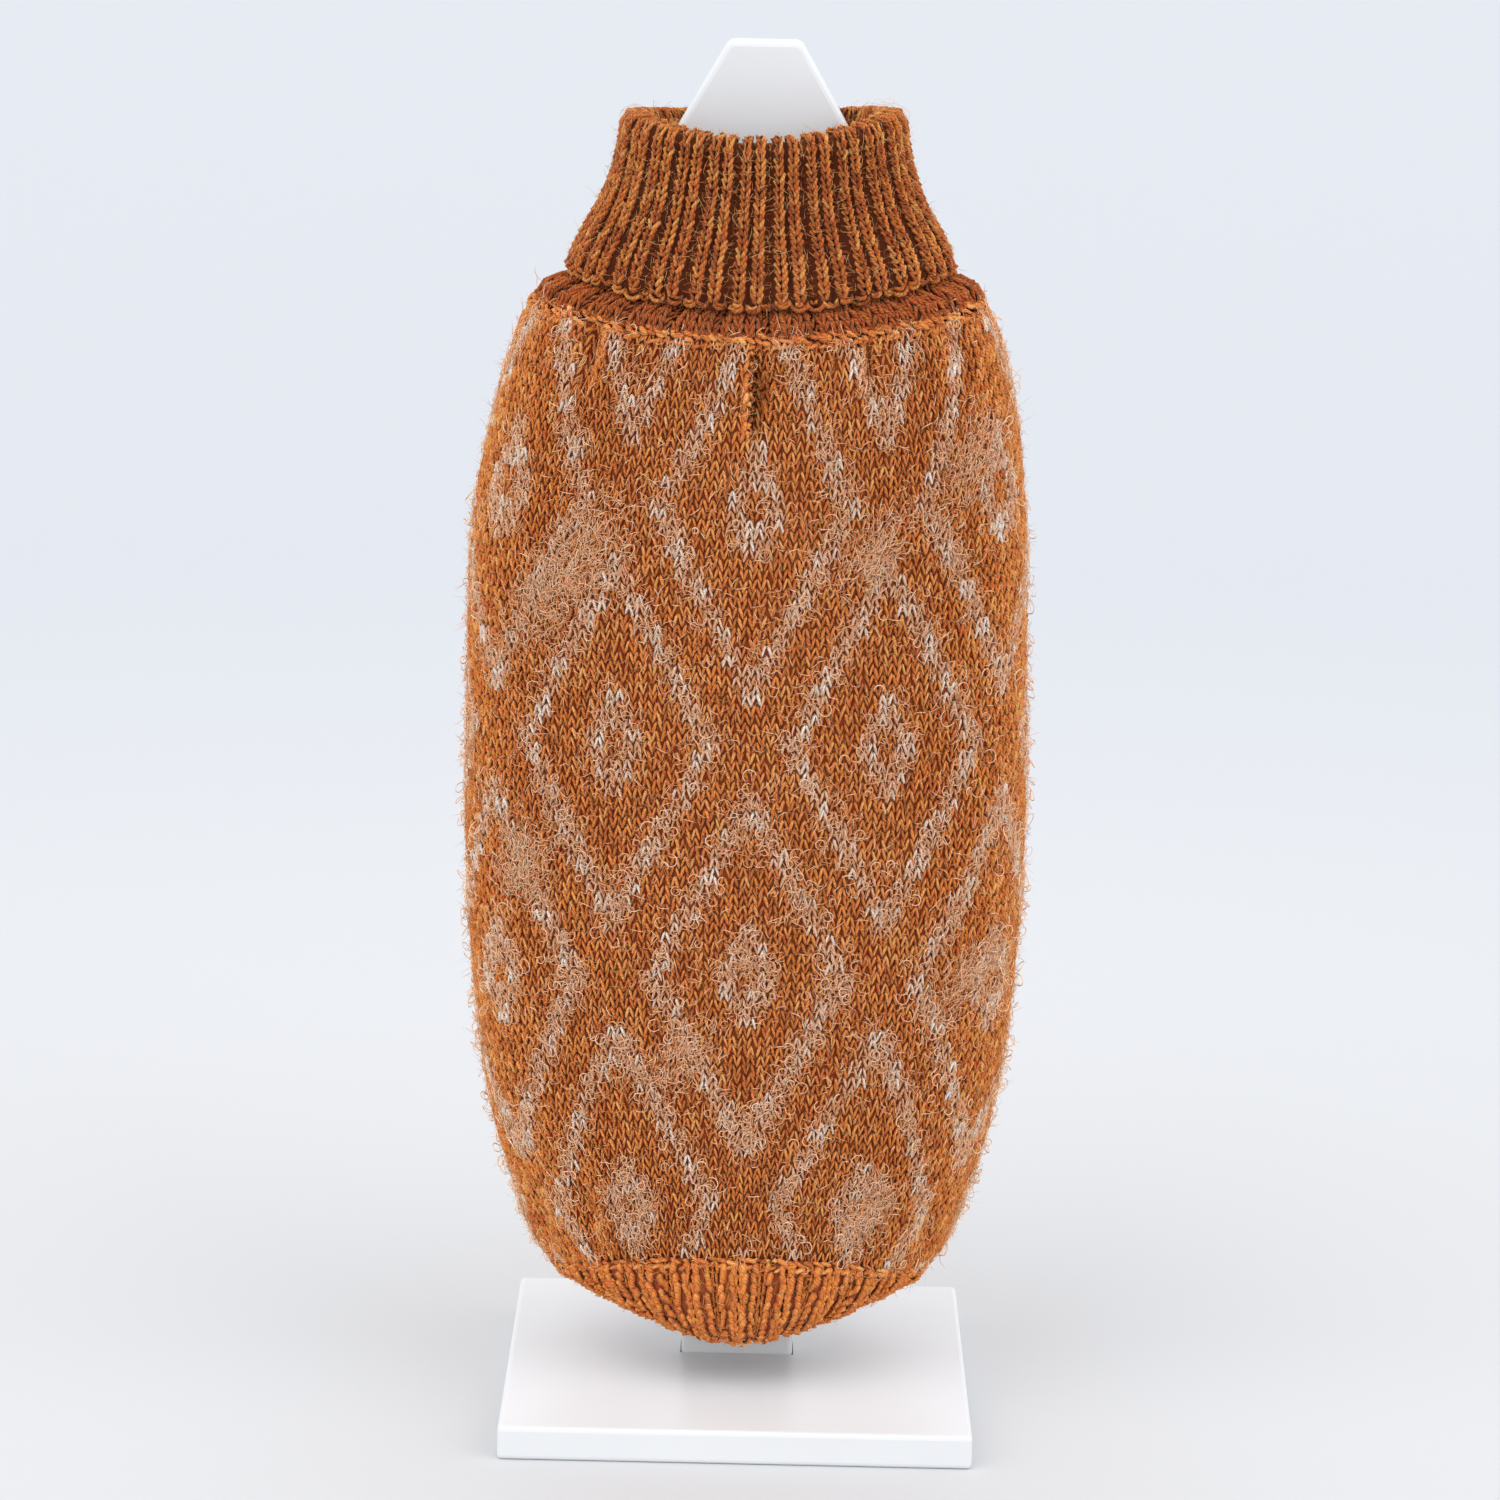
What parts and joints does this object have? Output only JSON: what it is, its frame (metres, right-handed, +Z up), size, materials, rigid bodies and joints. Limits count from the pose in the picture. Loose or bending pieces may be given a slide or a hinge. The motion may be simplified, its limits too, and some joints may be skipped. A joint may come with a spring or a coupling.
{
  "type": "dog sweater on display stand",
  "caption": "Knitted turtleneck sweater for a small dog, filled out over an upright white board on a square base, with ribbed collar and hem and leg openings.",
  "frame": {"origin": "middle of the underside of the stand's base", "axes": "+Z up, -Y towards the sweater's back, which the picture shows, +X to the right as seen from there"},
  "size_m": [0.1787, 0.15, 0.441],
  "materials": {
    "wool": "heathered rust wool knit with a cream and pale pink brushed pattern yarn",
    "white_paint": "smooth satin white paint on board"
  },
  "bodies": {
    "root": {"back_panel": "wool", "belly_panel": "wool", "turtleneck_collar": "wool", "hem_rib": "wool", "leg_cuff_left": "wool", "leg_cuff_right": "wool", "stand_board": "white_paint", "stand_base": "white_paint"}
  },
  "joints": []
}
